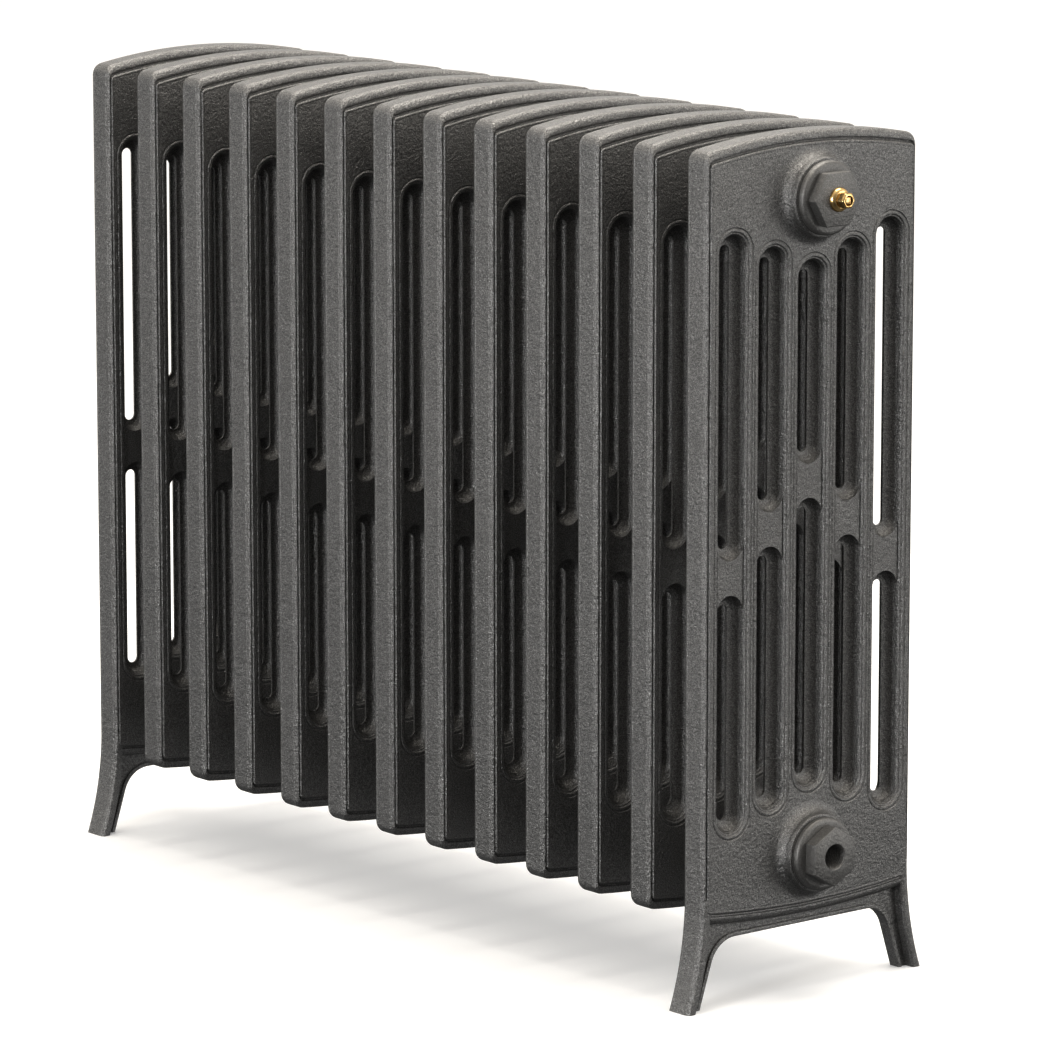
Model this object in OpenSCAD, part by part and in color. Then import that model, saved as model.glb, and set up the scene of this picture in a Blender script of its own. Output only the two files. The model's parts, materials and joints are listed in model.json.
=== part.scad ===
// Sectional cast-iron column radiator on feet, with end plugs, end bushes and a brass air-bleed valve.
// X runs along the row of sections, Y through the depth and Z up from the floor.
// The bleed valve is at the +X end. The origin is on the floor, under the middle of the whole part.

/* [Radiator] */
// Number of cast sections in the row
section_count = 13; // [3:1:16]
// Distance from one section to the next
section_pitch = 62.5; // [52:0.1:80]
// Height from the floor to the crown of the sections
height = 657; // [550:1:900]
// Depth of the sections, without the flare of the feet
body_depth = 208; // [173:1:250]

/* [Section] */
// Thickness of a section at its panel faces
panel_t = 26; // [21:0.1:32]
// Thickness of the rim that runs round a section
rim_t = 25; // [20:0.1:31]
// Width of the rim between the outline and the raised panel
rim_w = 6; // [4:0.5:8]
// Width of the chamfer along the edges of the rim
rim_chamfer = 4; // [2:0.5:5]
// Width of the inner columns through the depth
column_w = 29; // [24:0.5:34]
// Width of the two outer columns through the depth
side_column_w = 21; // [17:0.5:25]
// Thickness of the cast walls round the waterways
wall = 5.5; // [4:0.1:7]
// How far the crown rises above the top corners
top_rise = 10; // [4:0.5:18]
// How far the bottom edge hangs below the bottom corners
bottom_rise = 6; // [3:0.5:12]
// Radius of the four outer corners
corner_r = 9; // [5:0.5:14]
// Height of the lowest point of the section bodies above the floor
ground_clearance = 61; // [50:1:90]

/* [Slots] */
// Number of slots between the columns
slot_count = 5; // [3:2:5]
// How far each side of a slot opens out between its waist and its lip
slot_flare = 8.5; // [6:0.5:9.5]
// How much wider than the slots the shallow recess round them is, on each side
shoulder_w = 4; // [2:0.5:5]
// Depth of that recess below the panel face
shoulder_depth = 3.5; // [1.5:0.5:5]
// Height of the bridge between an upper and a lower slot
bridge_h = 26; // [18:1:34]
// Drop from one bridge to the next, going outwards
bridge_step = 32.5; // [0:0.5:37]
// Height of the middle bridge above the floor
bridge_z = 393; // [350:1:430]
// Distance from the crown down to the outermost slots
top_slot_margin = 67.5; // [62:0.5:90]
// Drop from one upper slot end to the next, going inwards
top_slot_step = 12.5; // [8:0.5:16]
// Distance from the lowest point of the bodies up to the outermost slots
bottom_slot_margin = 69; // [64:1:90]
// Rise from one lower slot end to the next, going inwards
bottom_slot_step = 12.5; // [8:0.5:16]

/* [Feet] */
// How far each foot flares out beyond the section
foot_flare = 15; // [6:1:24]
// Height above the floor at which the flare starts
foot_flare_z = 87; // [70:1:110]
// Thickness of the leg flange
leg_t = 8; // [6:0.5:12]
// Thickness of the thin web inside each leg and along the bottom edge
web_t = 10; // [7:0.5:14]
// Height of the web strip below the raised panel
strip_h = 9; // [6:0.5:16]
// Radius of the curve between the web strip and the leg
bracket_r = 24; // [15:1:34]
// Width of the web inside each flange where it meets the floor
foot_web = 9.5; // [4:0.5:16]
// Angle of the web's inner edge from upright, below that curve
web_lean = 18; // [12:1:26]

/* [Tappings] */
// Distance from the crown down to the upper tapping
top_tapping_drop = 49; // [47:1:58]
// Distance from the lowest point of the bodies up to the lower tapping
bottom_tapping_rise = 49; // [44:1:54]
// Diameter of the threaded bores that the nipples, plugs and bushes screw into
tapping_d = 42; // [36:0.5:44]
// Outer diameter of the hubs round the tappings
hub_d = 60; // [57:0.5:62]
// How far the end bosses stand out from the outer panel face
boss_h = 12.5; // [6:0.5:16]
// Radius of the hollow at the root of an end boss
boss_fillet_r = 8.5; // [4:0.5:10]
// Radial gap in the threads, between a bore and what screws into it
thread_gap = 0.1; // [0.05:0.05:0.2]
// Thickness of the flat gaskets
gasket_t = 1; // [0.5:0.5:2]
// How far each nipple reaches into the section on either side
nipple_reach = 14; // [8:1:18]
// Wall thickness of the nipples
nipple_wall = 4.5; // [3:0.5:6]

/* [Plugs and bushes] */
// Diameter of the round flange on the plugs and bushes
flange_d = 56; // [54:0.5:60]
// Thickness of that flange
flange_t = 5.5; // [4:0.5:9]
// Width of the chamfer round the flange
flange_chamfer = 1.5; // [0.5:0.5:2]
// Width across the flats of the hexagons
hex_af = 40; // [32:0.5:46]
// Height of the hexagon on the plugs
plug_hex_h = 8; // [6:0.5:14]
// Height of the hexagon on the bushes
bush_hex_h = 10.5; // [6:0.5:16]
// Length of the thread that goes into the boss
fitting_thread_l = 15; // [10:0.5:20]
// Depth of the hollow in the inner end of a plug
plug_hollow_depth = 12; // [6:0.5:13]
// Diameter of the pipe bore in the bushes
pipe_bore_d = 18.6; // [15:0.1:25]

/* [Bleed valve] */
// Diameter of the rounded flange of the brass body
valve_flange_d = 18.6; // [16:0.2:24]
// Thickness of that flange
valve_flange_t = 4; // [3:0.2:6]
// Diameter of the body's thread in the plug
valve_thread_d = 13; // [11:0.2:14]
// Length of the body's thread in the plug
valve_thread_l = 16; // [14:0.5:18]
// Width across the flats of the small hexagon on the body
nub_af = 11.2; // [10:0.2:14]
// Height of that hexagon
nub_h = 7.2; // [6:0.2:12]
// Diameter of the recess round the square of the bleed screw
recess_d = 7.8; // [7.6:0.1:9]
// Depth of that recess
recess_depth = 5; // [3:0.2:6]
// Diameter of the bleed screw's thread
screw_d = 6; // [5:0.1:6.5]
// Width of the square end of the bleed screw
square_w = 5; // [4:0.1:5.2]
// How far the square sits back from the end of the body
square_setback = 0.8; // [0:0.1:2]
// Gap between the back of the square and the floor of the recess
square_gap = 0.3; // [0.1:0.1:0.6]
// Diameter of the water passage behind the seat
seat_bore_d = 3; // [2:0.1:3.6]
// Thickness of the wall that the seat is cut in
seat_wall_t = 6; // [3:0.5:7]
// Diameter of the soft seat tip
tip_d = 5; // [4.2:0.1:5.4]
// Thickness of the soft seat tip
tip_t = 1.8; // [1:0.1:2.5]
// Diameter of the stem that holds the tip in the screw
tip_stem_d = 2.4; // [1.6:0.1:3]
// Length of that stem
tip_stem_l = 3.8; // [2:0.1:5]
// Gap left between the closed tip and its seat
seat_gap = 0.05; // [0.02:0.01:0.1]
// Diameter of the air outlet under the small hexagon
outlet_d = 1.8; // [1:0.1:2.2]

/* [Hidden] */
cut = 1;
round_fn = 96;
arc_steps = 4;
arch_steps = 8;
boss_steps = 6;

half_depth = body_depth / 2;
section_base = ground_clearance;
top_tapping_z = height - top_tapping_drop;
bottom_tapping_z = section_base + bottom_tapping_rise;

slot_waist = (body_depth - 2 * side_column_w - (slot_count - 1) * column_w) / slot_count;
lip_half = slot_waist / 2 + slot_flare;
slot_w = 2 * (lip_half + shoulder_w);
column_pitch = slot_waist + column_w;
middle_slot = (slot_count - 1) / 2;

channel_t = panel_t - 2 * wall;
side_column_y = half_depth - side_column_w / 2;
top_channel_z = height - top_slot_margin + wall;
top_channel_end_z = height - top_rise - rim_w;
bottom_channel_z = section_base + bottom_rise + rim_w;
bottom_channel_end_z = section_base + bottom_slot_margin - wall;

boss_face_reach = panel_t / 2 + boss_h;
plug_front = gasket_t + flange_t + plug_hex_h;
bush_front = gasket_t + flange_t + bush_hex_h;
valve_reach = plug_front + valve_flange_t + nub_h;
near_reach = boss_face_reach + max(valve_reach, bush_front);
far_reach = boss_face_reach + max(plug_front, bush_front);
centre_shift = (far_reach - near_reach) / 2;

screw_bore_start = valve_flange_t + nub_h - recess_depth;
seat_face_x = seat_wall_t - valve_thread_l;
tip_start_x = seat_face_x + seat_gap;
screw_start_x = tip_start_x + tip_t;
square_start_x = screw_bore_start + square_gap;
square_end_x = valve_flange_t + nub_h - square_setback;

function two_digits(i) = i < 10 ? str("0", i) : str(i);
function section_name(i) = str("section_", two_digits(i));
function top_nipple_name(i) = str("nipple_top_", two_digits(i));
function bottom_nipple_name(i) = str("nipple_bottom_", two_digits(i));
function section_x(i) = (i - (section_count + 1) / 2) * section_pitch + centre_shift;
function joint_x(i) = section_x(i) + section_pitch / 2;
function boss_x(side) = side > 0
    ? section_x(section_count) + boss_face_reach
    : section_x(1) - boss_face_reach;

// Slots are counted from 0 at -Y. Both ends of each slot follow its distance from the middle one.
function slot_y(k) = (k - middle_slot) * column_pitch;
function slot_rank(k) = abs(k - middle_slot);
function upper_slot_end(k) = height - top_slot_margin - (middle_slot - slot_rank(k)) * top_slot_step;
function lower_slot_end(k) =
    section_base + bottom_slot_margin + (middle_slot - slot_rank(k)) * bottom_slot_step;
function slot_bridge_z(k) = bridge_z - slot_rank(k) * bridge_step;
function column_y(k) = (k + 0.5 - middle_slot) * column_pitch;

// ---------- outlines in the Y-Z plane ----------

function arc(centre, r, from, to, steps) =
    [for (s = [0:steps]) let (a = from + (to - from) * s / steps) centre + r * [cos(a), sin(a)]];
function arch_radius(half, rise) = (half * half + rise * rise) / (2 * rise);
// Height of the centre of a corner arc that is tangent to both the side and the arch.
function corner_drop(half, rise, r) =
    arch_radius(half, rise) - sqrt(pow(arch_radius(half, rise) - r, 2) - pow(half - r, 2));
function corner_angle(half, rise, r) = acos((half - r) / (arch_radius(half, rise) - r));

// Right-hand half of one arched end, from the side to the crown, with the crown at height zero.
function arched_end(half, rise, r) =
    let (big_r = arch_radius(half, rise))
    let (turn = corner_angle(half, rise, r))
    concat(
        arc([half - r, -corner_drop(half, rise, r)], r, 0, turn, arc_steps),
        arc([0, -big_r], big_r, turn, 180 - turn, arch_steps),
        arc([r - half, -corner_drop(half, rise, r)], r, 180 - turn, 180, arc_steps)
    );

// Closed outline of a section body, pulled in by the same distance all round.
function body_outline(inset) =
    let (half = half_depth - inset)
    let (r = max(corner_r - inset, 1))
    concat(
        [for (p = arched_end(half, top_rise, r)) [p[0], height - inset + p[1]]],
        [for (p = arched_end(half, bottom_rise, r)) [-p[0], section_base + inset - p[1]]]
    );

// Turns a Y-Z outline into a slab that is t thick and centred on X.
module slab(t) {
    rotate([90, 0, 90])
        linear_extrude(height = t, center = true)
            children();
}

module x_cylinder(r, from, to) {
    translate([from, 0, 0])
        rotate([0, 90, 0])
            cylinder(r = r, h = to - from, $fn = round_fn);
}

module x_tube(r_out, r_in, from, to) {
    difference() {
        x_cylinder(r_out, from, to);
        x_cylinder(r_in, from - cut, to + cut);
    }
}

module x_hexagon(af, from, to, turn) {
    translate([from, 0, 0])
        rotate([0, 90, 0])
            rotate([0, 0, turn])
                cylinder(d = af / cos(30), h = to - from, $fn = 6);
}

// ---------- cast sections ----------

module rim_body() {
    hull() {
        slab(rim_t - 2 * rim_chamfer)
            polygon(body_outline(0));
        slab(rim_t)
            polygon(body_outline(rim_chamfer));
    }
}

module raised_panel() {
    slab(panel_t)
        polygon(body_outline(rim_w));
}

// Cross-section of a slot on one side of its axis: widest at both lips and narrow at the waist.
function slot_profile() =
    let (lip_x = panel_t / 2 - shoulder_depth)
    [
        [lip_x + cut, lip_half],
        [lip_x, lip_half],
        [0, slot_waist / 2],
        [-lip_x, lip_half],
        [-lip_x - cut, lip_half]
    ];

// Cross-section of the recess round the slots in one panel face, with sloping shoulders.
function recess_profile(side) =
    let (face = panel_t / 2)
    let (points = [[face + cut, slot_w / 2], [face, slot_w / 2], [face - shoulder_depth, lip_half]])
    [for (p = points) [side * p[0], p[1]]];

// Cuts one cross-section along a slot that has round ends. Its widest half width is r.
module slot_shape(profile, r, y, low, high) {
    axis_ends = [[profile[len(profile) - 1][0], 0], [profile[0][0], 0]];
    mirrored = [for (i = [len(profile) - 1:-1:0]) [profile[i][0], -profile[i][1]]];
    translate([0, y, low + r])
        linear_extrude(height = high - low - 2 * r)
            polygon(concat(profile, mirrored));
    for (z = [low + r, high - r])
        translate([0, y, z])
            rotate([0, 90, 0])
                rotate_extrude($fn = round_fn)
                    polygon([for (p = concat(profile, axis_ends)) [p[1], p[0]]]);
}

module slots() {
    for (k = [0:slot_count - 1]) {
        low = lower_slot_end(k);
        high = upper_slot_end(k);
        slot_shape(slot_profile(), lip_half, slot_y(k), slot_bridge_z(k) + bridge_h / 2, high - shoulder_w);
        slot_shape(slot_profile(), lip_half, slot_y(k), low + shoulder_w, slot_bridge_z(k) - bridge_h / 2);
        for (side = [-1, 1])
            slot_shape(recess_profile(side), slot_w / 2, slot_y(k), low, high);
    }
}

// Vertical waterways inside the columns.
module column_bores(low, high) {
    inner = [for (k = [0:slot_count - 2]) column_y(k)];
    for (y = concat([-side_column_y], inner, [side_column_y]))
        translate([0, y, low])
            cylinder(d = channel_t, h = high - low, $fn = round_fn);
}

// Passage through the depth of a section, round at its top and bottom.
module header_channel(low, high) {
    r = channel_t / 2;
    translate([0, 0, (low + high) / 2])
        cube([channel_t, 2 * side_column_y, high - low - channel_t], center = true);
    for (z = [low + r, high - r])
        translate([0, 0, z])
            rotate([90, 0, 0])
                cylinder(r = r, h = 2 * side_column_y, center = true, $fn = round_fn);
}

module waterways() {
    overlap = channel_t / 2;
    column_bores(bottom_channel_end_z - overlap, top_channel_z + overlap);
    header_channel(bottom_channel_z, bottom_channel_end_z);
    header_channel(top_channel_z, top_channel_end_z);
}

// The plain casting: rim, raised panel and slots, with no hubs and no waterways.
module section_shell() {
    difference() {
        union() {
            rim_body();
            raised_panel();
        }
        slots();
    }
}

module at_tappings() {
    for (z = [bottom_tapping_z, top_tapping_z])
        translate([0, 0, z])
            children();
}

// Half of a hub, from the middle of the section to the gasket at the joint.
module half_hub(side) {
    length = (section_pitch - gasket_t) / 2;
    at_tappings()
        x_cylinder(hub_d / 2, side > 0 ? 0 : -length, side > 0 ? length : 0);
}

// Boss on the outer panel face of an end section, with a hollow curve at its root.
module end_boss() {
    root = panel_t / 2;
    hollow = [for (s = [0:boss_steps]) let (a = 90 * s / boss_steps)
        [hub_d / 2 + boss_fillet_r * (1 - sin(a)), root + boss_fillet_r * (1 - cos(a))]];
    front = [[hub_d / 2, root + boss_h], [0, root + boss_h]];
    profile = concat([[0, 0], [hub_d / 2 + boss_fillet_r, 0]], hollow, front);
    rotate([0, 90, 0])
        rotate_extrude($fn = round_fn)
            polygon(profile);
}

function flare_radius() = (foot_flare_z * foot_flare_z + foot_flare * foot_flare) / (2 * foot_flare);
function flare_y(z, inset) =
    let (big_r = flare_radius() + inset)
    half_depth + flare_radius() - sqrt(big_r * big_r - pow(foot_flare_z - z, 2));

// Flange of one leg, from the floor up to the middle of the bottom corner.
module leg_flange_outline() {
    top = foot_flare_z;
    steps = 8;
    outer = [for (s = [0:steps]) let (z = top * s / steps) [flare_y(z, 0), z]];
    inner = [for (s = [steps:-1:0]) let (z = top * s / steps) [flare_y(z, leg_t), z]];
    polygon(concat(outer, inner));
}

// Thin web that fills the corner between the leg and the strip under the panel.
module leg_web_outline() {
    strip_z = section_base - strip_h;
    steps = 8;
    foot_y = flare_y(0, leg_t) - foot_web;
    centre_z = strip_z - bracket_r;
    lean_rise = centre_z + bracket_r * sin(web_lean);
    centre_y = foot_y - bracket_r * cos(web_lean) - lean_rise * tan(web_lean);
    curve = arc([centre_y, centre_z], bracket_r, 90, web_lean, boss_steps);
    flange_middle = [for (s = [0:steps]) let (z = foot_flare_z * s / steps) [flare_y(z, leg_t / 2), z]];
    polygon(concat(curve, [[foot_y, 0]], flange_middle, [[0, foot_flare_z], [0, strip_z]]));
}

module legs() {
    for (side = [0, 1])
        mirror([0, side, 0]) {
            slab(rim_t)
                leg_flange_outline();
            slab(web_t)
                leg_web_outline();
        }
}

module section(i) {
    is_first = i == 1;
    is_last = i == section_count;
    color([0.36, 0.35, 0.33])
        translate([section_x(i), 0, 0])
            difference() {
                union() {
                    section_shell();
                    if (!is_first)
                        half_hub(-1);
                    if (!is_last)
                        half_hub(1);
                    if (is_first || is_last) {
                        legs();
                        mirror([is_first ? 1 : 0, 0, 0])
                            at_tappings()
                                end_boss();
                    }
                }
                waterways();
                at_tappings()
                    x_cylinder(tapping_d / 2, -section_pitch, section_pitch);
            }
}

// ---------- joints between the sections ----------

module nipple(i, z) {
    outer_r = tapping_d / 2 - thread_gap;
    color([0.42, 0.40, 0.38])
        translate([joint_x(i), 0, z])
            x_tube(outer_r, outer_r - nipple_wall, -nipple_reach, nipple_reach);
}

module joint_gaskets(z) {
    color([0.16, 0.15, 0.14])
        for (i = [1:section_count - 1])
            translate([joint_x(i), 0, z])
                x_tube(flange_d / 2, tapping_d / 2 + 1, -gasket_t / 2, gasket_t / 2);
}

module top_gaskets() {
    joint_gaskets(top_tapping_z);
}

module bottom_gaskets() {
    joint_gaskets(bottom_tapping_z);
}

// ---------- plugs and bushes at the ends ----------

// Puts children on the face of an end boss, with +X pointing away from the radiator.
module at_boss(side, z) {
    translate([boss_x(side), 0, z])
        mirror([side > 0 ? 0 : 1, 0, 0])
            children();
}

module fitting_gasket() {
    color([0.16, 0.15, 0.14])
        x_tube(flange_d / 2, tapping_d / 2 + 1, 0, gasket_t);
}

// Thread, flange and hexagon that the plugs and the bushes share.
module fitting_blank(hex_h, turn) {
    r = flange_d / 2;
    back = gasket_t;
    front = gasket_t + flange_t;
    x_cylinder(tapping_d / 2 - thread_gap, -fitting_thread_l, back + cut);
    x_cylinder(r, back, front - flange_chamfer);
    translate([front - flange_chamfer, 0, 0])
        rotate([0, 90, 0])
            cylinder(r1 = r, r2 = r - flange_chamfer, h = flange_chamfer, $fn = round_fn);
    x_hexagon(hex_af, front - cut, front + hex_h, turn);
}

module plug_blank() {
    hollow_r = tapping_d / 2 - thread_gap - nipple_wall;
    difference() {
        fitting_blank(plug_hex_h, 30);
        x_cylinder(hollow_r, -fitting_thread_l - cut, plug_hollow_depth - fitting_thread_l);
    }
}

module bush() {
    color([0.40, 0.39, 0.37])
        difference() {
            fitting_blank(bush_hex_h, 0);
            x_cylinder(pipe_bore_d / 2, -fitting_thread_l - cut, bush_front + cut);
        }
}

module vent_plug() {
    color([0.40, 0.39, 0.37])
        at_boss(1, top_tapping_z)
            difference() {
                plug_blank();
                x_cylinder(valve_thread_d / 2 + thread_gap, -fitting_thread_l - cut, plug_front + cut);
            }
}

module vent_plug_gasket() {
    at_boss(1, top_tapping_z)
        fitting_gasket();
}

module inlet_bush() {
    at_boss(1, bottom_tapping_z)
        bush();
}

module inlet_bush_gasket() {
    at_boss(1, bottom_tapping_z)
        fitting_gasket();
}

module blank_plug() {
    color([0.40, 0.39, 0.37])
        at_boss(-1, top_tapping_z)
            plug_blank();
}

module blank_plug_gasket() {
    at_boss(-1, top_tapping_z)
        fitting_gasket();
}

module return_bush() {
    at_boss(-1, bottom_tapping_z)
        bush();
}

module return_bush_gasket() {
    at_boss(-1, bottom_tapping_z)
        fitting_gasket();
}

// ---------- air-bleed valve ----------

// Puts children on the front of the vent plug's hexagon, on the valve's own axis.
module at_valve() {
    at_boss(1, top_tapping_z)
        translate([plug_front, 0, 0])
            children();
}

// Rounded brass flange: a quarter-ellipse edge turned round the axis.
module valve_flange() {
    r = valve_flange_d / 2;
    edge = [for (s = [0:boss_steps]) let (a = 90 * s / boss_steps)
        [r - valve_flange_t * 0.7 * (1 - cos(a)), valve_flange_t * sin(a)]];
    rotate([0, 90, 0])
        rotate_extrude($fn = round_fn)
            polygon(concat([[0, 0]], edge, [[0, valve_flange_t]]));
}

module bleed_valve_body() {
    end = valve_flange_t + nub_h;
    outlet_x = screw_bore_start - outlet_d;
    color([0.80, 0.62, 0.30])
        at_valve()
            difference() {
                union() {
                    x_cylinder(valve_thread_d / 2, -valve_thread_l, cut);
                    valve_flange();
                    x_hexagon(nub_af, valve_flange_t - cut, end, 0);
                }
                x_cylinder(recess_d / 2, screw_bore_start, end + cut);
                x_cylinder(screw_d / 2, seat_face_x, end);
                x_cylinder(seat_bore_d / 2, -valve_thread_l - cut, seat_face_x + cut);
                translate([outlet_x, 0, -nub_af])
                    cylinder(d = outlet_d, h = nub_af, $fn = 32);
            }
}

module bleed_screw() {
    thread_r = screw_d / 2 - thread_gap;
    stem_r = tip_stem_d / 2;
    square_l = square_end_x - square_start_x;
    color([0.84, 0.68, 0.38])
        at_valve()
            difference() {
                union() {
                    x_cylinder(thread_r, screw_start_x, square_start_x + cut);
                    translate([square_start_x, -square_w / 2, -square_w / 2])
                        cube([square_l, square_w, square_w]);
                }
                x_cylinder(stem_r + thread_gap, screw_start_x - cut, screw_start_x + tip_stem_l + seat_gap);
            }
}

module bleed_seat_tip() {
    color([0.90, 0.89, 0.84])
        at_valve() {
            x_cylinder(tip_d / 2, tip_start_x, screw_start_x);
            x_cylinder(tip_stem_d / 2, screw_start_x - seat_gap, screw_start_x + tip_stem_l);
        }
}

// ---------- the assembly ----------

for (i = [1:section_count])
    section(i);
for (i = [1:section_count - 1])
    nipple(i, top_tapping_z);
for (i = [1:section_count - 1])
    nipple(i, bottom_tapping_z);
top_gaskets();
bottom_gaskets();
vent_plug();
vent_plug_gasket();
bleed_valve_body();
bleed_screw();
bleed_seat_tip();
inlet_bush();
inlet_bush_gasket();
blank_plug();
blank_plug_gasket();
return_bush();
return_bush_gasket();
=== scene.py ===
import json
import math
import bmesh
import bpy
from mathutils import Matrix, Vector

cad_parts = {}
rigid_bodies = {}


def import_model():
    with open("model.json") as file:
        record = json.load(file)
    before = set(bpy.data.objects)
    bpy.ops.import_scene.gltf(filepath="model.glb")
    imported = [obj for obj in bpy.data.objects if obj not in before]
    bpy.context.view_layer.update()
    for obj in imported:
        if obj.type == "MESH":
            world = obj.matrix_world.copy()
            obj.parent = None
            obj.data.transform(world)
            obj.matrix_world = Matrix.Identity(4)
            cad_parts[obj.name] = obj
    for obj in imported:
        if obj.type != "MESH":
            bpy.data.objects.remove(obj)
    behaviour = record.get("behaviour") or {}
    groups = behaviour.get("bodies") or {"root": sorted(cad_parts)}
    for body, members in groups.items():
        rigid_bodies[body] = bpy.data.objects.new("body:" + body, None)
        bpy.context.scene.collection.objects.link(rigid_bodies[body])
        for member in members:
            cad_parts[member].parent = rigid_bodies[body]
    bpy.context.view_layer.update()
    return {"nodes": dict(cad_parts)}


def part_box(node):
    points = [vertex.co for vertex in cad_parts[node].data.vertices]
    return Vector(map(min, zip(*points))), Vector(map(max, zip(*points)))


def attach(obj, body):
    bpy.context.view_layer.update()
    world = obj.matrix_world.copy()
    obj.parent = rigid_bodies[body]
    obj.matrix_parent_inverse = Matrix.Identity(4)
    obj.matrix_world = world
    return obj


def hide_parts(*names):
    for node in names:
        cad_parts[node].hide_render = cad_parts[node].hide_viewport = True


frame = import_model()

mm = 0.001

# ---------- camera, floor and lights ----------
# A plain pale floor under a white sky, as in a product studio. One tall soft light stands at the front left
# and catches the section edges, one stands beyond the near end, and one hangs overhead.

camera_place = (3783.6 * mm, -3070.4 * mm, 1208.8 * mm)
camera_tilt = math.radians(79.49)
camera_turn = math.radians(50.60)
camera_lens = 213.2

bpy.ops.object.camera_add(location=camera_place, rotation=(camera_tilt, 0, camera_turn))
camera = bpy.context.object
camera.name = "camera"
camera.data.lens = camera_lens
camera.data.sensor_width = 36
camera.data.clip_end = 200
bpy.context.scene.camera = camera


def deselect_all():
    bpy.ops.object.select_all(action="DESELECT")


deselect_all()
bpy.ops.mesh.primitive_plane_add(size=80)
floor = bpy.context.object
floor.name = "floor"
floor_finish = bpy.data.materials.new("floor_white")
floor_finish.use_nodes = True
floor_shader = floor_finish.node_tree.nodes["Principled BSDF"]
floor_shader.inputs["Base Color"].default_value = (0.90, 0.90, 0.90, 1)
floor_shader.inputs["Roughness"].default_value = 0.9
floor_shader.inputs["Specular IOR Level"].default_value = 0.1
floor_shader.inputs["Emission Color"].default_value = (1.0, 1.0, 1.0, 1)
floor_shader.inputs["Emission Strength"].default_value = 0.22
floor.data.materials.append(floor_finish)
floor.visible_diffuse = False
floor.visible_glossy = False

# The floor lights nothing itself. The sky is white all round but for the open side where the camera stands,
# and dim underneath, while the camera sees plain white behind the radiator.
sky = bpy.data.worlds.new("studio_sky")
sky.use_nodes = True
sky_tree = sky.node_tree
sky_light = sky_tree.nodes["Background"]
sky_where = sky_tree.nodes.new("ShaderNodeTexCoord")
sky_split = sky_tree.nodes.new("ShaderNodeSeparateXYZ")
sky_ramp = sky_tree.nodes.new("ShaderNodeValToRGB")
sky_height = sky_tree.nodes.new("ShaderNodeMapRange")
sky_height.inputs["From Min"].default_value = -1
sky_tree.links.new(sky_where.outputs["Generated"], sky_split.inputs["Vector"])
sky_tree.links.new(sky_split.outputs["Z"], sky_height.inputs["Value"])
sky_tree.links.new(sky_height.outputs["Result"], sky_ramp.inputs["Fac"])
sky_ramp.color_ramp.elements[0].position = 0.30
sky_ramp.color_ramp.elements[0].color = (0.12, 0.12, 0.12, 1)
sky_ramp.color_ramp.elements[1].position = 1.0
sky_ramp.color_ramp.elements[1].color = (1.25, 1.17, 1.06, 1)
sky_middle = sky_ramp.color_ramp.elements.new(0.46)
sky_middle.color = (0.78, 0.78, 0.78, 1)
sky_tree.links.new(sky_ramp.outputs["Color"], sky_light.inputs["Color"])
sky_facing = sky_tree.nodes.new("ShaderNodeVectorMath")
sky_facing.operation = "DOT_PRODUCT"
sky_facing.inputs[1].default_value = (0.770, -0.638, 0.0)
sky_tree.links.new(sky_where.outputs["Generated"], sky_facing.inputs[0])
sky_open_side = sky_tree.nodes.new("ShaderNodeMapRange")
sky_open_side.inputs["From Min"].default_value = 0.30
sky_open_side.inputs["From Max"].default_value = 0.85
sky_open_side.inputs["To Min"].default_value = 1.0
sky_open_side.inputs["To Max"].default_value = 0.30
sky_tree.links.new(sky_facing.outputs["Value"], sky_open_side.inputs["Value"])
sky_tree.links.new(sky_open_side.outputs["Result"], sky_light.inputs["Strength"])
sky_back = sky_tree.nodes.new("ShaderNodeBackground")
sky_back.inputs["Color"].default_value = (1, 1, 1, 1)
sky_path = sky_tree.nodes.new("ShaderNodeLightPath")
sky_mix = sky_tree.nodes.new("ShaderNodeMixShader")
sky_tree.links.new(sky_path.outputs["Is Camera Ray"], sky_mix.inputs["Fac"])
sky_tree.links.new(sky_light.outputs["Background"], sky_mix.inputs[1])
sky_tree.links.new(sky_back.outputs["Background"], sky_mix.inputs[2])
sky_tree.links.new(sky_mix.outputs["Shader"], sky_tree.nodes["World Output"].inputs["Surface"])
bpy.context.scene.world = sky
bpy.context.scene.view_settings.view_transform = "Standard"


def soft_light(name, place, aim, width, height, watts, colour):
    data = bpy.data.lights.new(name, "AREA")
    data.shape = "RECTANGLE"
    data.size = width
    data.size_y = height
    data.energy = watts
    data.color = colour
    light = bpy.data.objects.new(name, data)
    bpy.context.collection.objects.link(light)
    light.location = place
    direction = light.location.copy()
    for axis in range(3):
        direction[axis] = aim[axis] - place[axis]
    light.rotation_euler = direction.to_track_quat("-Z", "Y").to_euler()


soft_light("front_left", (0.95, -3.2, 0.75), (0, 0, 0.33), 0.6, 1.5, 68, (1.0, 1.0, 1.0))
soft_light("right_end", (2.9, 1.9, 0.8), (0.3, 0, 0.33), 1.5, 2.0, 30, (1.0, 0.99, 0.97))
soft_light("overhead", (0.0, 0.4, 2.8), (0, 0, 0.33), 2.2, 1.4, 80, (1.0, 0.95, 0.88))


# ---------- cast sections ----------
# Thirteen iron castings stand side by side. Each is a hollow slab with a rounded band round its edge, a
# moulded bead inside that, and five tall slots on either side of a bridge. They are sand cast and painted.

middle_low, middle_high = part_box("section_07")
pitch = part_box("section_08")[0][0] - middle_low[0]
crown_z = middle_high[2]
base_z = middle_low[2]
half_depth = middle_high[1]
crown_rise = 10 * mm
base_rise = 6 * mm
corner_radius = 9 * mm
panel_x = 12.8 * mm

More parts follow.
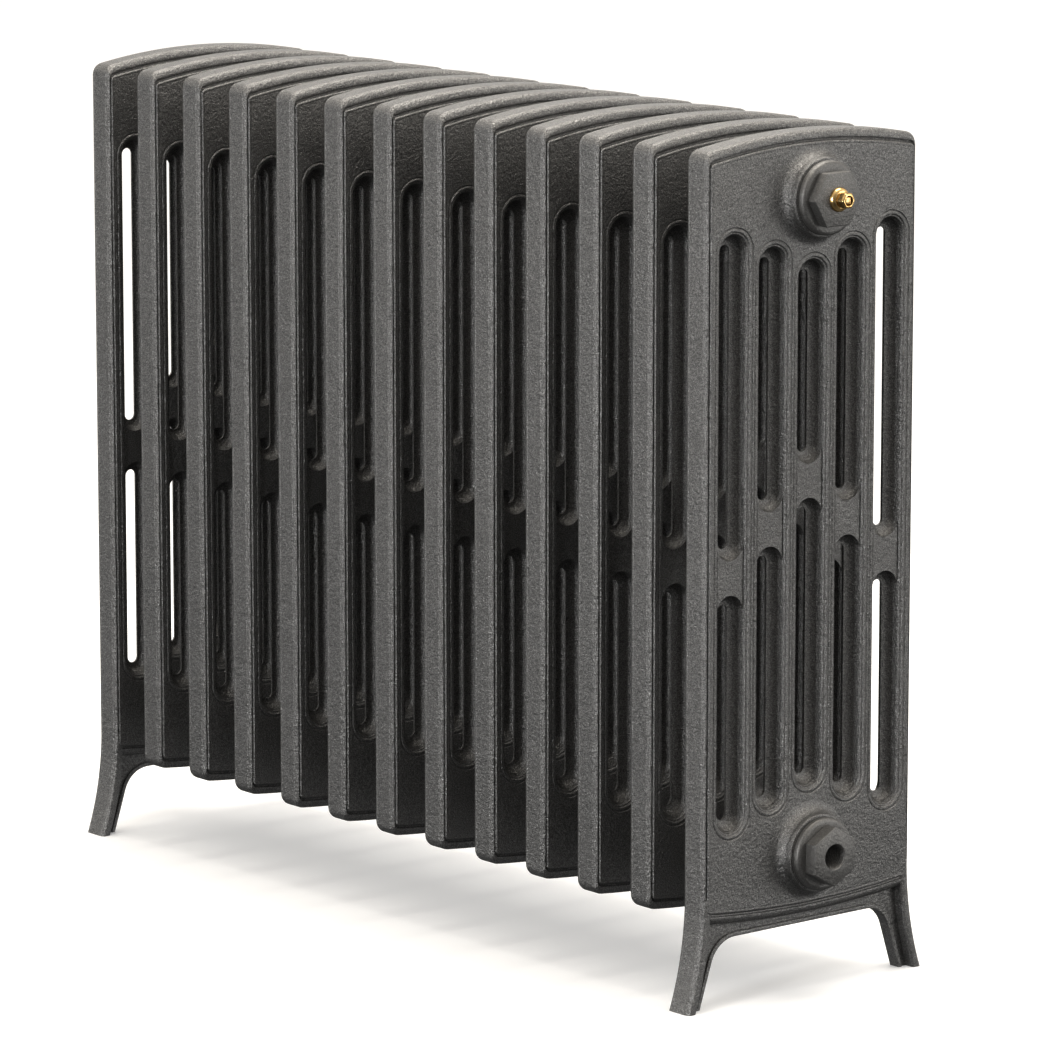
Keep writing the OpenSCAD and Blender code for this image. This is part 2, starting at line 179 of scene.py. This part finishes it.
# From the middle of a section outwards: distance from the middle, inset at the sides, inset at the crown.
band_rings = [
    (0.0, 0.0, 0.0),
    (7.4, 0.0, 0.0),
    (8.1, 0.4, 0.4),
    (8.7, 0.05, 0.2),
    (9.9, 0.3, 0.9),
    (10.8, 0.8, 2.3),
    (11.45, 1.3, 4.0),
    (11.75, 1.75, 5.6),
    (11.6, 2.0, 6.2),
    (10.4, 2.25, 6.8),
    (10.1, 2.65, 7.6),
    (10.5, 3.05, 8.3),
    (12.2, 3.3, 8.8),
    (12.75, 3.7, 9.4),
    (12.9, 4.2, 10.0),
    (12.85, 4.7, 10.6),
    (12.7, 5.1, 11.1),
    (12.8, 5.6, 11.6),
]


def edit(piece):
    deselect_all()
    piece.select_set(True)
    bpy.context.view_layer.objects.active = piece
    bpy.ops.object.mode_set(mode="EDIT")


def leave_edit():
    bpy.ops.object.mode_set(mode="OBJECT")


def new_piece(name):
    deselect_all()
    bpy.ops.mesh.primitive_plane_add(size=mm)
    piece = bpy.context.object
    piece.name = name
    piece.data.name = name
    edit(piece)
    bpy.ops.mesh.select_all(action="SELECT")
    bpy.ops.mesh.delete(type="VERT")
    return piece


def start_point(x, y, z):
    bpy.ops.mesh.select_mode(type="VERT")
    bpy.ops.mesh.select_all(action="DESELECT")
    bpy.ops.mesh.primitive_plane_add(size=mm)
    bpy.ops.mesh.merge(type="CENTER")
    bpy.ops.transform.translate(value=(x, y, z))


def pull(x, y, z):
    bpy.ops.mesh.extrude_region_move(TRANSFORM_OT_translate={"value": (x, y, z)})


def turn(steps, angle, centre, axis=(1, 0, 0)):
    bpy.ops.mesh.spin(steps=steps, angle=angle, center=centre, axis=axis)


def select_where(test, mode="VERT"):
    mesh = bmesh.from_edit_mesh(bpy.context.object.data)
    bpy.ops.mesh.select_mode(type=mode)
    bpy.ops.mesh.select_all(action="DESELECT")
    items = {"VERT": mesh.verts, "EDGE": mesh.edges, "FACE": mesh.faces}[mode]
    for item in items:
        if test(item):
            item.select = True
    mesh.select_flush_mode()
    bmesh.update_edit_mesh(bpy.context.object.data)
    return any(item.select for item in items)


def arch_radius(rise):
    return (half_depth ** 2 + rise ** 2) / (2 * rise)


# One closed loop round a section, drawn from the crown down one side and back up the other.
def band_loop(x, side_inset, end_inset):
    half = half_depth - side_inset
    small = max(corner_radius - (side_inset + end_inset) / 2, 1.2 * mm)
    top_big = arch_radius(crown_rise) - end_inset
    low_big = arch_radius(base_rise) - end_inset
    top_centre = crown_z - end_inset - top_big
    low_centre = base_z + end_inset + low_big
    top_turn = math.asin((half - small) / (top_big - small))
    low_turn = math.asin((half - small) / (low_big - small))
    top_corner = top_centre + (top_big - small) * math.cos(top_turn)
    low_corner = low_centre - (low_big - small) * math.cos(low_turn)
    start_point(x, 0, crown_z - end_inset)
    turn(10, top_turn, (x, 0, top_centre))
    turn(7, math.pi / 2 - top_turn, (x, half - small, top_corner))
    pull(0, 0, low_corner - top_corner)
    turn(7, math.pi / 2 - low_turn, (x, half - small, low_corner))
    turn(20, 2 * low_turn, (x, 0, low_centre))
    turn(7, math.pi / 2 - low_turn, (x, small - half, low_corner))
    pull(0, 0, top_corner - low_corner)
    turn(7, math.pi / 2 - top_turn, (x, small - half, top_corner))
    turn(10, top_turn, (x, 0, top_centre))


def merge_close(distance=0.00001):
    bpy.ops.mesh.select_all(action="SELECT")
    bpy.ops.mesh.remove_doubles(threshold=distance)


def apply_modifier(piece, kind, **settings):
    deselect_all()
    piece.select_set(True)
    bpy.context.view_layer.objects.active = piece
    modifier = piece.modifiers.new(kind.lower(), kind)
    for key, value in settings.items():
        setattr(modifier, key, value)
    bpy.ops.object.modifier_apply(modifier=modifier.name)


def face_outwards():
    bpy.ops.mesh.select_all(action="SELECT")
    bpy.ops.mesh.normals_make_consistent(inside=False)


def make_band():
    band = new_piece("section_blank")
    for x, side_inset, end_inset in band_rings:
        band_loop(x * mm, side_inset * mm, end_inset * mm)
    merge_close()
    places = [ring[0] * mm for ring in band_rings]
    for near, far in zip(places, places[1:]):
        select_where(lambda v: abs(v.co.x - near) < 1e-6 or abs(v.co.x - far) < 1e-6)
        bpy.ops.mesh.bridge_edge_loops()
    select_where(lambda v: abs(v.co.x - places[-1]) < 1e-6)
    bpy.ops.mesh.edge_face_add()
    face_outwards()
    leave_edit()
    apply_modifier(band, "MIRROR", use_axis=(True, False, False), merge_threshold=0.00001)
    return band


# A closed cutter with round ends: its cross-section is drawn on one side and carried round both ends.
def round_ended_cutter(profile, y, low_centre, high_centre, steps):
    first_x, first_w = profile[0]
    start_point(first_x * mm, y + first_w * mm, low_centre)
    for (x0, w0), (x1, w1) in zip(profile, profile[1:]):
        pull((x1 - x0) * mm, (w1 - w0) * mm, 0)
    bpy.ops.mesh.select_linked()
    pull(0, 0, high_centre - low_centre)
    turn(steps, -math.pi, (0, y, high_centre))
    pull(0, 0, low_centre - high_centre)
    turn(steps, -math.pi, (0, y, low_centre))


# The moulding of a column of slots, from the groove it shares with its neighbour in to the lip.
# Each pair is a distance from the middle of the section and one from the middle of the column.
channel_profile = [
    (14.0, 19.35),
    (12.85, 19.3),
    (12.2, 18.7),
    (12.1, 18.3),
    (12.6, 17.4),
    (12.75, 16.8),
    (12.6, 16.0),
    (11.6, 15.4),
    (11.35, 15.0),
    (11.5, 14.5),
    (11.3, 14.0),
    (10.6, 13.6),
    (9.5, 13.4),
    (8.7, 13.25),
    (8.5, 12.9),
    (9.4, 12.6),
    (9.75, 12.2),
    (9.7, 11.8),
    (9.4, 11.4),
]
slot_lip = 13.0
slot_waist = 5.0
slot_floor = 9.2
slot_land = 0.8
slot_cut = 11.0
cup_steps = 10

column_step = 39 * mm
bridge_z = 393 * mm
bridge_step = 32.5 * mm
bridge_half = 26 * mm
high_end = crown_z - 85 * mm
low_end = base_z + 86.5 * mm
end_step = 12.5 * mm


def column_levels(column):
    across = abs(column)
    return (
        low_end + end_step * (2 - across),
        bridge_z - bridge_step * across,
        high_end - end_step * (2 - across),
    )


def slot_section():
    half = [(slot_cut, slot_lip), (slot_floor, slot_lip)]
    for step in range(1, cup_steps + 1):
        angle = math.pi / 2 * step / cup_steps
        half.append((slot_floor - (slot_floor - slot_land) * math.sin(angle),
                     slot_waist + (slot_lip - slot_waist) * math.cos(angle)))
    return half + [(-x, w) for x, w in reversed(half)]


def cut(piece, cutters, kind="DIFFERENCE"):
    for cutter in cutters:
        apply_modifier(piece, "BOOLEAN", operation=kind, solver="EXACT", object=cutter)
        bpy.data.objects.remove(cutter, do_unlink=True)


def make_channels(sign):
    cutter = new_piece("channel_cutter")
    profile = [(x * sign, w) for x, w in channel_profile]
    for column in range(-2, 3):
        low, _, high = column_levels(column)
        round_ended_cutter(profile, column * column_step, low, high, 20)
    finish_cutter(cutter, (profile[0][0], profile[-1][0]))
    return cutter


def make_slots():
    cutter = new_piece("slot_cutter")
    for column in range(-2, 3):
        low, bridge, high = column_levels(column)
        y = column * column_step
        round_ended_cutter(slot_section(), y, low, bridge - bridge_half, 20)
        round_ended_cutter(slot_section(), y, bridge + bridge_half, high, 20)
    finish_cutter(cutter, (slot_cut, -slot_cut))
    return cutter


def finish_cutter(cutter, ends):
    merge_close(0.000002)
    for end in ends:
        select_where(lambda e: len(e.link_faces) == 1
                     and all(abs(v.co.x - end * mm) < 1e-6 for v in e.verts), "EDGE")
        bpy.ops.mesh.fill()
        bpy.ops.mesh.dissolve_limited(angle_limit=0.0002)
    face_outwards()
    leave_edit()


def smooth(piece, degrees=28):
    deselect_all()
    piece.select_set(True)
    bpy.context.view_layer.objects.active = piece
    bpy.ops.object.shade_smooth_by_angle(angle=math.radians(degrees))


# Hubs and end bosses: a hollow root curves out of the panel into a round boss with a bored face.
tapping_levels = (crown_z - 49 * mm, base_z + 49 * mm)
hub_radius = 30 * mm
bore_radius = 21 * mm
root_radius = 8.5 * mm


def revolve(piece, z, steps=96):
    bpy.ops.mesh.select_all(action="SELECT")
    turn(steps, 2 * math.pi, (0, 0, z))
    merge_close()
    for end in (min, max):
        level = end(v.co.x for v in bmesh.from_edit_mesh(piece.data).verts)
        if select_where(lambda e: len(e.link_faces) == 1
                        and all(abs(v.co.x - level) < 1e-6 for v in e.verts), "EDGE"):
            bpy.ops.mesh.edge_face_add()
    face_outwards()
    leave_edit()


def make_hub(z, sign, reach, edge):
    hub = new_piece("hub")
    root_x = panel_x + root_radius
    start_point(sign * 4 * mm, 0, z + hub_radius + root_radius)
    pull(sign * (panel_x - 4 * mm), 0, 0)
    turn(8, sign * math.pi / 2, (sign * root_x, 0, z + hub_radius + root_radius), (0, 1, 0))
    pull(sign * (reach - edge - root_x), 0, 0)
    turn(3, -sign * math.pi / 2, (sign * (reach - edge), 0, z + hub_radius - edge), (0, 1, 0))
    revolve(hub, z)
    return hub


def make_bore(z, left_reach, right_reach):
    bore = new_piece("bore")
    start_point(-left_reach - mm, 0, z + bore_radius + 1.8 * mm)
    pull(1.8 * mm, 0, -1.8 * mm)
    pull(left_reach + right_reach - 1.6 * mm, 0, 0)
    pull(1.8 * mm, 0, 1.8 * mm)
    revolve(bore, z)
    return bore


def add_hubs(section, left_reach, right_reach, left_edge, right_edge):
    for z in tapping_levels:
        hubs = [make_hub(z, -1, left_reach, left_edge), make_hub(z, 1, right_reach, right_edge)]
        cut(section, hubs, "UNION")
        cut(section, [make_bore(z, left_reach, right_reach)])


# The legs flare outwards from the side band of each end section. A thin web with a raised lip fills the
# corner between each leg and the bottom edge.
flare_start = 87 * mm
flare_out = 15 * mm
leg_thick = 8 * mm
web_half = 3.5 * mm
lip_half = 5.2 * mm
lip_wide = 3.6 * mm
strip_z = base_z - 9 * mm
web_radius = 24 * mm
web_lean = math.radians(18)
web_foot = half_depth + flare_out - leg_thick - 9.8 * mm

leg_outline = [
    (0.0, 0.0), (7.4, 0.0), (8.1, 0.4), (8.7, 0.05), (9.9, 0.3), (10.8, 0.8), (11.45, 1.3), (11.75, 1.75),
    (11.95, 2.6), (12.0, 4.5), (11.8, 6.2), (11.2, 7.3), (10.2, 7.9), (0.0, 8.0),
]


def fill_level(z):
    select_where(lambda v: abs(v.co.z - z) < 1e-6)
    bpy.ops.mesh.edge_face_add()


def make_leg_flange(side):
    flange = new_piece("leg_flange")
    curve = flare_start ** 2 / (2 * flare_out) + flare_out / 2
    start_point(leg_outline[0][0] * mm, side * (half_depth - 0.07 * mm), flare_start)
    for (x0, inset0), (x1, inset1) in zip(leg_outline, leg_outline[1:]):
        pull((x1 - x0) * mm, side * (inset0 - inset1) * mm, 0)
    bpy.ops.mesh.select_all(action="SELECT")
    turn(16, -side * math.asin(flare_start / curve) * 1.09, (0, side * (half_depth + curve), flare_start))
    merge_close()
    leave_edit()
    apply_modifier(flange, "MIRROR", use_axis=(True, False, False), merge_threshold=0.00001)
    edit(flange)
    bpy.ops.mesh.select_all(action="SELECT")
    bpy.ops.mesh.bisect(plane_co=(0, 0, 0), plane_no=(0, 0, 1), clear_inner=True)
    fill_level(flare_start)
    fill_level(0)
    face_outwards()
    leave_edit()
    return flange


# The lower edge of the web, from one foot up and along under the body to the other foot.
def web_line(inset):
    radius = web_radius + inset
    centre_z = strip_z - web_radius
    drop = centre_z + radius * math.sin(web_lean)
    foot = web_foot + inset / math.cos(web_lean)
    bend_y = foot - radius * math.cos(web_lean) - drop * math.tan(web_lean)
    half = [(foot, 0.4 * mm)]
    for step in range(11):
        angle = (math.pi / 2 - web_lean) * (1 - step / 10)
        half.append((bend_y + radius * math.sin(angle), centre_z + radius * math.cos(angle)))
    return [(-y, z) for y, z in half] + half[::-1]


def make_plate(half, points):
    plate = new_piece("web")
    start_point(-half, points[0][0], points[0][1])
    for (y0, z0), (y1, z1) in zip(points, points[1:] + points[:1]):
        pull(0, y1 - y0, z1 - z0)
    merge_close()
    bpy.ops.mesh.select_all(action="SELECT")
    bpy.ops.mesh.edge_face_add()
    pull(2 * half, 0, 0)
    face_outwards()
    select_where(lambda e: len(e.link_faces) == 2 and e.calc_face_angle() > 1.2
                 and abs(e.verts[0].co.x - e.verts[1].co.x) < 1e-6
                 and e.verts[0].co.z + e.verts[1].co.z > mm, "EDGE")
    bpy.ops.mesh.bevel(offset=0.9 * mm, segments=3)
    face_outwards()
    leave_edit()
    return plate


def make_web():
    right_flange = [(half_depth + 10.6 * mm, 0.4 * mm), (half_depth + 1.2 * mm, 35 * mm),
                    (half_depth - 4 * mm, 84 * mm)]
    left_flange = [(-y, z) for y, z in right_flange[::-1]]
    return make_plate(web_half, web_line(0.7 * mm) + right_flange + left_flange)


def make_lip():
    return make_plate(lip_half, web_line(0) + web_line(lip_wide)[::-1])


def add_legs(section):
    cut(section, [make_leg_flange(-1), make_leg_flange(1), make_web(), make_lip()], "UNION")


def add_slots(section):
    cut(section, [make_channels(1), make_channels(-1), make_slots()])


def place(piece, x):
    edit(piece)
    bpy.ops.mesh.select_all(action="SELECT")
    bpy.ops.transform.translate(value=(x, 0, 0))
    leave_edit()


def copy_piece(piece, name):
    twin = piece.copy()
    twin.data = piece.data.copy()
    twin.name = name
    twin.data.name = name
    bpy.context.collection.objects.link(twin)
    return twin


def new_group(name, inputs, outputs):
    group = bpy.data.node_groups.new(name, "ShaderNodeTree")
    for label, kind, value in inputs:
        socket = group.interface.new_socket(name=label, in_out="INPUT", socket_type=kind)
        socket.default_value = value
    for label, kind in outputs:
        group.interface.new_socket(name=label, in_out="OUTPUT", socket_type=kind)
    start = group.nodes.new("NodeGroupInput")
    end = group.nodes.new("NodeGroupOutput")
    return group, start, end


def add_node(tree, kind, **settings):
    node = tree.nodes.new(kind)
    for key, value in settings.items():
        setattr(node, key, value)
    return node


def noise(tree, place, scale, detail, roughness=0.5):
    node = add_node(tree, "ShaderNodeTexNoise")
    node.inputs["Scale"].default_value = scale
    node.inputs["Detail"].default_value = detail
    node.inputs["Roughness"].default_value = roughness
    tree.links.new(place, node.inputs["Vector"])
    return node.outputs["Fac"]


def remap(tree, value, low, high, out_low, out_high):
    node = add_node(tree, "ShaderNodeMapRange")
    node.inputs["From Min"].default_value = low
    node.inputs["From Max"].default_value = high
    node.inputs["To Min"].default_value = out_low
    node.inputs["To Max"].default_value = out_high
    tree.links.new(value, node.inputs["Value"])
    return node.outputs["Result"]


def sum_of(tree, first, second):
    node = add_node(tree, "ShaderNodeMath", operation="ADD")
    tree.links.new(first, node.inputs[0])
    tree.links.new(second, node.inputs[1])
    return node.outputs[0]


# Sand-cast skin: broad softness, grains of sand and fine pits, given as a height in metres with a speckle.
cast_skin, skin_in, skin_out = new_group(
    "cast_skin",
    [("Grain", "NodeSocketFloat", 1.0)],
    [("Height", "NodeSocketFloat"), ("Speckle", "NodeSocketFloat"), ("Blotch", "NodeSocketFloat")],
)
skin_place = add_node(cast_skin, "ShaderNodeTexCoord").outputs["Object"]
skin_broad = remap(cast_skin, noise(cast_skin, skin_place, 70, 2), 0.2, 0.8, 0, 0.00030)
skin_sand = remap(cast_skin, noise(cast_skin, skin_place, 380, 4, 0.65), 0.2, 0.8, 0, 0.00045)
skin_fine = remap(cast_skin, noise(cast_skin, skin_place, 1400, 2), 0.2, 0.8, 0, 0.00012)
skin_height = sum_of(cast_skin, skin_broad, sum_of(cast_skin, skin_sand, skin_fine))
skin_scaled = add_node(cast_skin, "ShaderNodeMath", operation="MULTIPLY")
cast_skin.links.new(skin_height, skin_scaled.inputs[0])
cast_skin.links.new(skin_in.outputs["Grain"], skin_scaled.inputs[1])
cast_skin.links.new(skin_scaled.outputs[0], skin_out.inputs["Height"])
cast_skin.links.new(noise(cast_skin, skin_place, 1100, 3, 0.7), skin_out.inputs["Speckle"])
cast_skin.links.new(noise(cast_skin, skin_place, 14, 3), skin_out.inputs["Blotch"])


def colour_ramp(tree, value, stops):
    node = add_node(tree, "ShaderNodeValToRGB")
    while len(node.color_ramp.elements) < len(stops):
        node.color_ramp.elements.new(0.5)
    for element, (position, colour) in zip(node.color_ramp.elements, stops):
        element.position = position
        element.color = (*colour, 1)
    tree.links.new(value, node.inputs["Fac"])
    return node.outputs["Color"]


def painted_iron(name, grain, dark, middle, light, rough, metal):
    finish = bpy.data.materials.new(name)
    finish.use_nodes = True
    tree = finish.node_tree
    shader = tree.nodes["Principled BSDF"]
    skin = add_node(tree, "ShaderNodeGroup", node_tree=cast_skin)
    skin.inputs["Grain"].default_value = grain
    colours = colour_ramp(tree, skin.outputs["Speckle"], [(0.38, dark), (0.51, middle), (0.66, light)])
    tree.links.new(colours, shader.inputs["Base Color"])
    tree.links.new(remap(tree, skin.outputs["Blotch"], 0.3, 0.7, rough - 0.04, rough + 0.05),
                   shader.inputs["Roughness"])
    shader.inputs["Metallic"].default_value = metal
    shader.inputs["Specular IOR Level"].default_value = 0.5
    bump = add_node(tree, "ShaderNodeBump")
    bump.inputs["Strength"].default_value = 1.0
    bump.inputs["Distance"].default_value = 1.0
    tree.links.new(skin.outputs["Height"], bump.inputs["Height"])
    tree.links.new(bump.outputs["Normal"], shader.inputs["Normal"])
    return finish


cast_paint = painted_iron("cast_iron_paint", 1.5, (0.085, 0.084, 0.082), (0.155, 0.153, 0.149),
                          (0.300, 0.296, 0.288), 0.37, 0.88)


def finish_piece(piece, finish, slot_name, body, *nodes):
    piece.data.materials.clear()
    piece.data.materials.append(finish)
    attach(piece, body)
    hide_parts(*nodes)


joint_reach = (pitch - mm) / 2
boss_reach = 25.5 * mm

middle_blank = make_band()
add_hubs(middle_blank, joint_reach, joint_reach, 0.5 * mm, 0.5 * mm)
add_slots(middle_blank)
smooth(middle_blank)
for number in range(2, 13):
    node_name = f"section_{number:02d}"
    casting = copy_piece(middle_blank, "casting_%02d" % number)
    place(casting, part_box(node_name)[0][0] + joint_reach)
    finish_piece(casting, cast_paint, "cast_iron_paint", "radiator", node_name)
bpy.data.objects.remove(middle_blank, do_unlink=True)

end_blank = make_band()
add_hubs(end_blank, joint_reach, boss_reach, 0.5 * mm, 1.2 * mm)
add_legs(end_blank)
add_slots(end_blank)
smooth(end_blank)
near_casting = copy_piece(end_blank, "casting_13")
place(near_casting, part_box("section_13")[0][0] + joint_reach)
finish_piece(near_casting, cast_paint, "cast_iron_paint", "radiator", "section_13")
far_casting = copy_piece(end_blank, "casting_01")
edit(far_casting)
bpy.ops.mesh.select_all(action="SELECT")
bpy.ops.transform.resize(value=(-1, 1, 1), center_override=(0, 0, 0))
face_outwards()
leave_edit()
place(far_casting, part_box("section_01")[1][0] - joint_reach)
finish_piece(far_casting, cast_paint, "cast_iron_paint", "radiator", "section_01")
bpy.data.objects.remove(end_blank, do_unlink=True)


# ---------- plugs and bushes ----------
# Cast and machined iron fittings painted with the radiator: a thread goes into each end boss, a round flange
# presses on a flat gasket, and a hexagon takes the wrench. The plugs are closed and the bushes are bored.

fitting_paint = painted_iron("fitting_paint", 0.8, (0.110, 0.108, 0.104), (0.140, 0.137, 0.132),
                             (0.200, 0.196, 0.188), 0.42, 0.85)
hexagon_radius = 20 * mm / math.cos(math.pi / 6)


def turned(name, profile, origin_x, sign, z, closed=False):
    piece = new_piece(name)
    first_x, first_r = profile[0]
    start_point(origin_x + sign * first_x * mm, 0, z + first_r * mm)
    for (x0, r0), (x1, r1) in zip(profile, profile[1:] + (profile[:1] if closed else [])):
        pull(sign * (x1 - x0) * mm, 0, (r1 - r0) * mm)
    revolve(piece, z)
    return piece


def hexagon(name, near_x, far_x, radius, z, first_angle, edge):
    piece = new_piece(name)
    angles = [first_angle + math.radians(60 * corner) for corner in range(7)]
    start_point(near_x, radius * math.cos(angles[0]), z + radius * math.sin(angles[0]))
    for before, after in zip(angles, angles[1:]):
        pull(0, radius * (math.cos(after) - math.cos(before)), radius * (math.sin(after) - math.sin(before)))
    merge_close()
    bpy.ops.mesh.select_all(action="SELECT")
    bpy.ops.mesh.edge_face_add()
    pull(far_x - near_x, 0, 0)
    face_outwards()
    select_where(lambda e: not all(abs(v.co.x - near_x) < 1e-6 for v in e.verts), "EDGE")
    bpy.ops.mesh.bevel(offset=edge, segments=3)
    face_outwards()
    leave_edit()
    return piece


def make_fitting(name, node, sign, boss_x, z, hex_height, first_angle, bore):
    flange = [(-15, 20.2), (-14.2, 20.9), (1, 20.9), (1.02, 27.6), (1.4, 28), (3.9, 28), (4.9, 27.6),
              (5.7, 26.9), (6.3, 25.8), (6.5, 24.4)]
    fitting = turned(name, flange, boss_x, sign, z)
    flange_front = boss_x + sign * 6.5 * mm
    cut(fitting, [hexagon("hexagon", flange_front - sign * mm, flange_front + sign * hex_height,
                          hexagon_radius, z, first_angle, 0.6 * mm)], "UNION")
    if bore:
        front = 6.5 + hex_height / mm
        bore_line = [(front + 1, 11.2), (front - 0.9, 9.3)]
        step = front - 1.4
        while step > -13:
            bore_line += [(step, 9.3), (step - 0.45, 9.75), (step - 0.9, 9.75), (step - 1.35, 9.3)]
            step -= 1.8
        bore_line += [(-16, 9.3)]
        cut(fitting, [turned("pipe_bore", bore_line, boss_x, sign, z)])
    smooth(fitting)
    finish_piece(fitting, fitting_paint, "fitting_paint", "radiator", node)


near_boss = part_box("section_13")[1][0]
far_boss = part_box("section_01")[0][0]
plug_hex = 8 * mm
bush_hex = 10.5 * mm
top_z, low_z = tapping_levels

make_fitting("near_plug", "vent_plug", 1, near_boss, top_z, plug_hex, 0, False)
make_fitting("far_plug", "blank_plug", -1, far_boss, top_z, plug_hex, 0, False)
make_fitting("near_bush", "inlet_bush", 1, near_boss, low_z, bush_hex, math.pi / 2, True)
make_fitting("far_bush", "return_bush", -1, far_boss, low_z, bush_hex, math.pi / 2, True)


# ---------- bleed valve ----------
# A small brass valve screwed into the middle of the near plug: a domed flange, a hexagon with a deep recess,
# and the square end of the screw inside it. The screw turns with a key and carries a soft tip to its seat.

brass = bpy.data.materials.new("polished_brass")
brass.use_nodes = True
brass_tree = brass.node_tree
brass_shader = brass_tree.nodes["Principled BSDF"]
brass_place = add_node(brass_tree, "ShaderNodeTexCoord").outputs["Object"]
brass_tone = colour_ramp(brass_tree, noise(brass_tree, brass_place, 350, 3),
                         [(0.3, (0.60, 0.37, 0.13)), (0.7, (0.80, 0.56, 0.25))])
brass_tree.links.new(brass_tone, brass_shader.inputs["Base Color"])
brass_shader.inputs["Metallic"].default_value = 1.0
brass_tree.links.new(remap(brass_tree, noise(brass_tree, brass_place, 700, 2), 0.3, 0.7, 0.16, 0.26),
                     brass_shader.inputs["Roughness"])

valve_x = near_boss + 6.5 * mm + plug_hex
valve_profile = [(-16, 6.0), (-15.4, 6.4), (0, 6.4), (0.02, 9.1), (0.3, 9.3), (1.4, 9.1), (2.4, 8.6),
                 (3.2, 7.9), (3.7, 7.2), (4.0, 6.3)]
valve = turned("valve_body", valve_profile, valve_x, 1, top_z)
nub_radius = 5.6 * mm / math.cos(math.pi / 6)
nub = hexagon("nub", valve_x + 3.5 * mm, valve_x + 11.2 * mm, nub_radius, top_z, 0, 1.1 * mm)
cut(valve, [nub], "UNION")
screw_low, screw_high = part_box("bleed_screw")
screw_start = screw_low[0] / mm - valve_x / mm
recess = [(screw_start - 0.8, 3.05), (6.2, 3.05), (6.2, 3.9), (11.0, 3.9), (12, 4.9)]
cut(valve, [turned("recess", recess, valve_x, 1, top_z)])
smooth(valve)
finish_piece(valve, brass, "brass", "radiator", "bleed_valve_body")

key_square = 5 * mm
screw_profile = [(screw_start, 2.5), (screw_start + 0.4, 2.9), (6.2, 2.9), (6.5, 2.6)]
screw = turned("key_screw", screw_profile, valve_x, 1, top_z)
deselect_all()
bpy.ops.mesh.primitive_cube_add(size=key_square, location=(screw_high[0] - key_square / 2, 0, top_z))
square = bpy.context.object
edit(square)
bpy.ops.mesh.select_all(action="SELECT")
bpy.ops.mesh.bevel(offset=0.35 * mm, segments=2)
leave_edit()
cut(screw, [square], "UNION")
smooth(screw)
finish_piece(screw, brass, "screw_brass", "screw", "bleed_screw")


# ---------- hidden joints ----------
# Threaded iron nipples pull neighbouring sections together on thin fibre gaskets, which show only as a dark
# line between the hubs. The same gasket sits behind each plug and bush, and the screw has a soft plastic tip.

def plain_finish(name, low_colour, high_colour, rough, metal, scale):
    finish = bpy.data.materials.new(name)
    finish.use_nodes = True
    tree = finish.node_tree
    shader = tree.nodes["Principled BSDF"]
    where = add_node(tree, "ShaderNodeTexCoord").outputs["Object"]
    tone = colour_ramp(tree, noise(tree, where, scale, 4), [(0.3, low_colour), (0.7, high_colour)])
    tree.links.new(tone, shader.inputs["Base Color"])
    tree.links.new(remap(tree, noise(tree, where, scale * 2, 2), 0.3, 0.7, rough - 0.06, rough + 0.06),
                   shader.inputs["Roughness"])
    shader.inputs["Metallic"].default_value = metal
    return finish


nipple_iron = plain_finish("nipple_iron", (0.10, 0.095, 0.09), (0.20, 0.19, 0.18), 0.45, 0.8, 300)
fibre_gasket = plain_finish("fibre_gasket", (0.015, 0.015, 0.014), (0.035, 0.033, 0.03), 0.85, 0.0, 900)
tip_plastic = plain_finish("tip_plastic", (0.80, 0.79, 0.74), (0.88, 0.87, 0.83), 0.4, 0.0, 500)


def dress(name, finish):
    for slot in frame["nodes"][name].material_slots:
        slot.material = finish


for number in range(1, 13):
    dress("nipple_top_%02d" % number, nipple_iron)
    dress("nipple_bottom_%02d" % number, nipple_iron)
for name in ("top_gaskets", "bottom_gaskets", "vent_plug_gasket", "blank_plug_gasket", "inlet_bush_gasket",
             "return_bush_gasket"):
    dress(name, fibre_gasket)
dress("bleed_seat_tip", tip_plastic)
